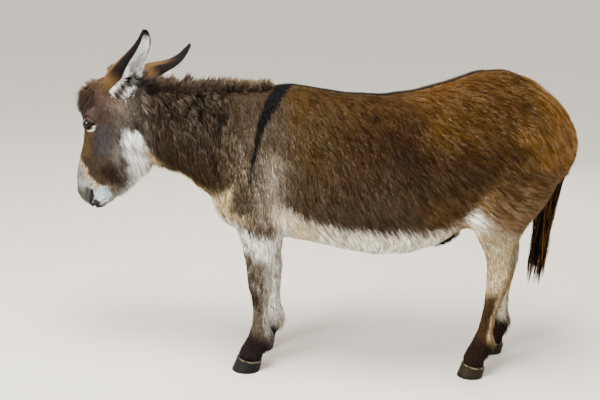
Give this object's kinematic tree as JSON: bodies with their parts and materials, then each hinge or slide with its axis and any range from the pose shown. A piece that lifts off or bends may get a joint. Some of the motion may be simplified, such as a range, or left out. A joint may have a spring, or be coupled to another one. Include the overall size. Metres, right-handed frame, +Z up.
{
  "type": "donkey",
  "caption": "Small grey-dun donkey standing still with its head lowered and turned slightly, ears apart, a short ragged mane and a hanging tail.",
  "frame": {"origin": "on the floor under the middle of the animal's bounding box", "axes": "-X is forward, towards the head; -Y is the animal's left side; +Z is up"},
  "size_m": [1.7294, 0.5018, 1.1768],
  "materials": {
    "short_coat": "short dense hair, grey-dun",
    "ear_coat": "short hair, dark rim and pale inside",
    "mane_hair": "coarse ragged hair, dark grey-brown",
    "tail_hair": "long coarse hair, near black",
    "eye": "wet and glossy, very dark brown",
    "hoof_horn": "dull dark horn"
  },
  "bodies": {
    "root": {"ear_left": "ear_coat", "ear_right": "ear_coat", "eye_left": "eye", "eye_right": "eye", "head": "short_coat", "hoof_fore_left": "hoof_horn", "hoof_fore_right": "hoof_horn", "hoof_hind_left": "hoof_horn", "hoof_hind_right": "hoof_horn", "leg_fore_left": "short_coat", "leg_fore_right": "short_coat", "leg_hind_left": "short_coat", "leg_hind_right": "short_coat", "mane": "mane_hair", "neck": "short_coat", "tail_dock": "short_coat", "tail_switch": "tail_hair", "trunk": "short_coat"}
  },
  "joints": []
}
